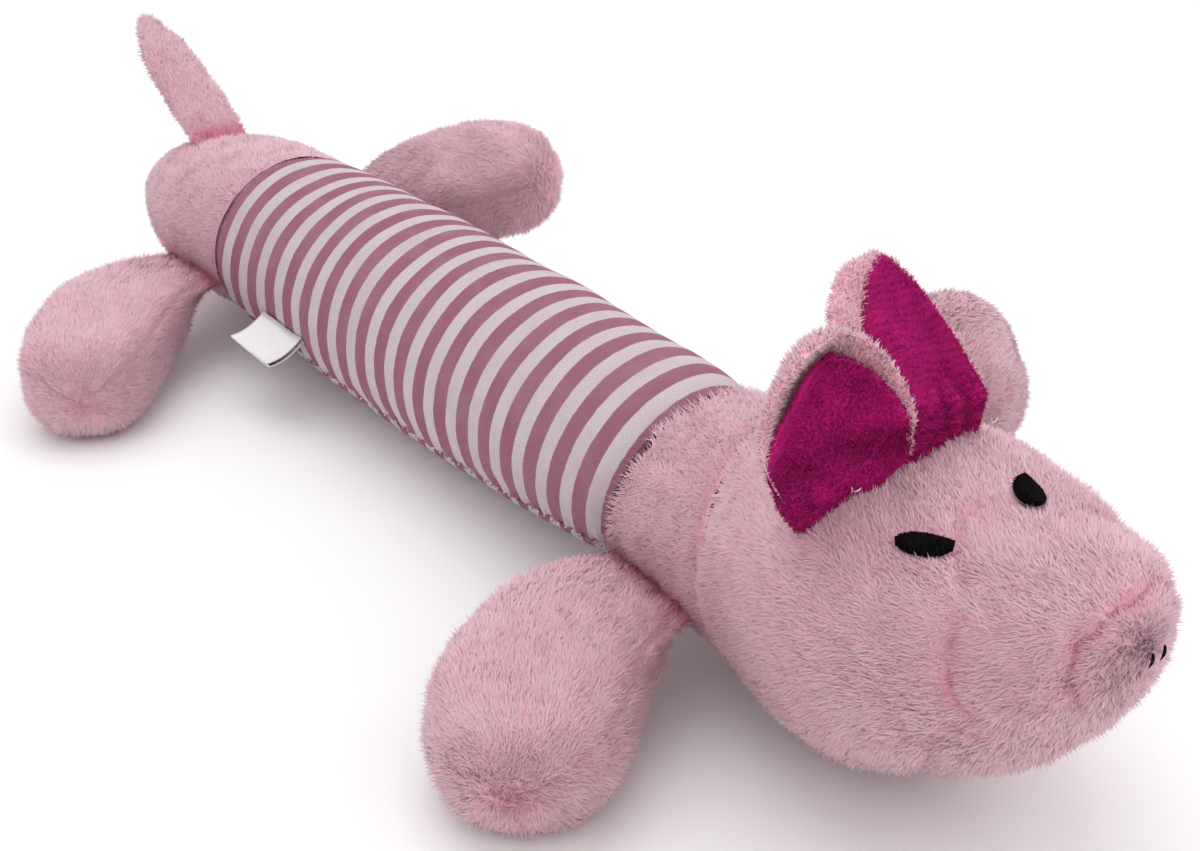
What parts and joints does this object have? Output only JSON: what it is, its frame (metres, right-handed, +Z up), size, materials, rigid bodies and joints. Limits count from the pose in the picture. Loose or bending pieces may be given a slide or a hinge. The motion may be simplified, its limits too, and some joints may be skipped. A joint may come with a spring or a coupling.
{
  "type": "plush dog toy",
  "caption": "Stuffed plush pig for a dog, with a long striped jersey body, sewn-in legs, ears and tail, and a squeaker in its stuffing.",
  "frame": {"origin": "on the floor that the toy lies on, under the middle of its belly", "axes": "+Z up, the head towards -Y and the tail towards +Y, the toy's right side towards -X"},
  "size_m": [0.1311, 0.2825, 0.0739],
  "materials": {
    "pink_plush": "matte",
    "striped_jersey": "matte",
    "magenta_velour": "matte",
    "black_thread": "satin",
    "white_satin": "satin",
    "mauve_thread": "matte",
    "polyester_fibre": "matte",
    "squeaker_plastic": "gloss"
  },
  "bodies": {
    "torso": {"head_skin": "pink_plush", "muzzle_skin": "pink_plush", "nose_pad": "pink_plush", "chest_skin": "pink_plush", "torso_sleeve": "striped_jersey", "rump_skin": "pink_plush", "head_filling": "polyester_fibre", "chest_filling": "polyester_fibre", "torso_filling_front": "polyester_fibre", "torso_filling_rear": "polyester_fibre", "rump_filling": "polyester_fibre", "squeaker_bulb": "squeaker_plastic", "squeaker_reed": "squeaker_plastic", "left_eye": "black_thread", "right_eye": "black_thread", "left_nostril": "black_thread", "right_nostril": "black_thread", "care_label": "white_satin", "closing_seam": "mauve_thread"},
    "right_front_leg": {"right_front_leg_skin": "pink_plush", "right_front_leg_filling": "polyester_fibre"},
    "left_front_leg": {"left_front_leg_skin": "pink_plush", "left_front_leg_filling": "polyester_fibre"},
    "right_rear_leg": {"right_rear_leg_skin": "pink_plush", "right_rear_leg_filling": "polyester_fibre"},
    "left_rear_leg": {"left_rear_leg_skin": "pink_plush", "left_rear_leg_filling": "polyester_fibre"},
    "right_ear": {"right_ear_back": "pink_plush", "right_ear_lining": "magenta_velour"},
    "left_ear": {"left_ear_back": "pink_plush", "left_ear_lining": "magenta_velour"},
    "tail": {"tail_skin": "pink_plush", "tail_filling": "polyester_fibre"}
  },
  "joints": [
    {"name": "right_front_leg_seam", "type": "hinge", "parent": "torso", "child": "right_front_leg", "pos_m": [-0.02384, -0.0745, 0.016], "axis": [0.1213, 0.9926, 0], "range_deg": [-80, 60], "stiffness_Nm_per_rad": 0.015},
    {"name": "left_front_leg_seam", "type": "hinge", "parent": "torso", "child": "left_front_leg", "pos_m": [0.01634, -0.0745, 0.016], "axis": [0.1213, -0.9926, 0], "range_deg": [-130, 10], "stiffness_Nm_per_rad": 0.015},
    {"name": "right_rear_leg_seam", "type": "hinge", "parent": "torso", "child": "right_rear_leg", "pos_m": [-0.02582, 0.081, 0.016], "axis": [-0.0154, 0.9999, 0], "range_deg": [-80, 60], "stiffness_Nm_per_rad": 0.015},
    {"name": "left_rear_leg_seam", "type": "hinge", "parent": "torso", "child": "left_rear_leg", "pos_m": [0.01832, 0.081, 0.016], "axis": [-0.0154, -0.9999, 0], "range_deg": [-116, 24], "stiffness_Nm_per_rad": 0.015},
    {"name": "right_ear_seam", "type": "hinge", "parent": "torso", "child": "right_ear", "pos_m": [-0.01725, -0.109, 0.05152], "axis": [0.9666, -0.0846, 0.2419], "range_deg": [-50, 60], "stiffness_Nm_per_rad": 0.004},
    {"name": "left_ear_seam", "type": "hinge", "parent": "torso", "child": "left_ear", "pos_m": [0.00775, -0.109, 0.05212], "axis": [0.9666, 0.0846, -0.2419], "range_deg": [-14, 96], "stiffness_Nm_per_rad": 0.004},
    {"name": "tail_seam", "type": "hinge", "parent": "torso", "child": "tail", "pos_m": [-0.00375, 0.10136, 0.04052], "axis": [1, 0, 0], "range_deg": [-35, 100], "stiffness_Nm_per_rad": 0.004}
  ]
}
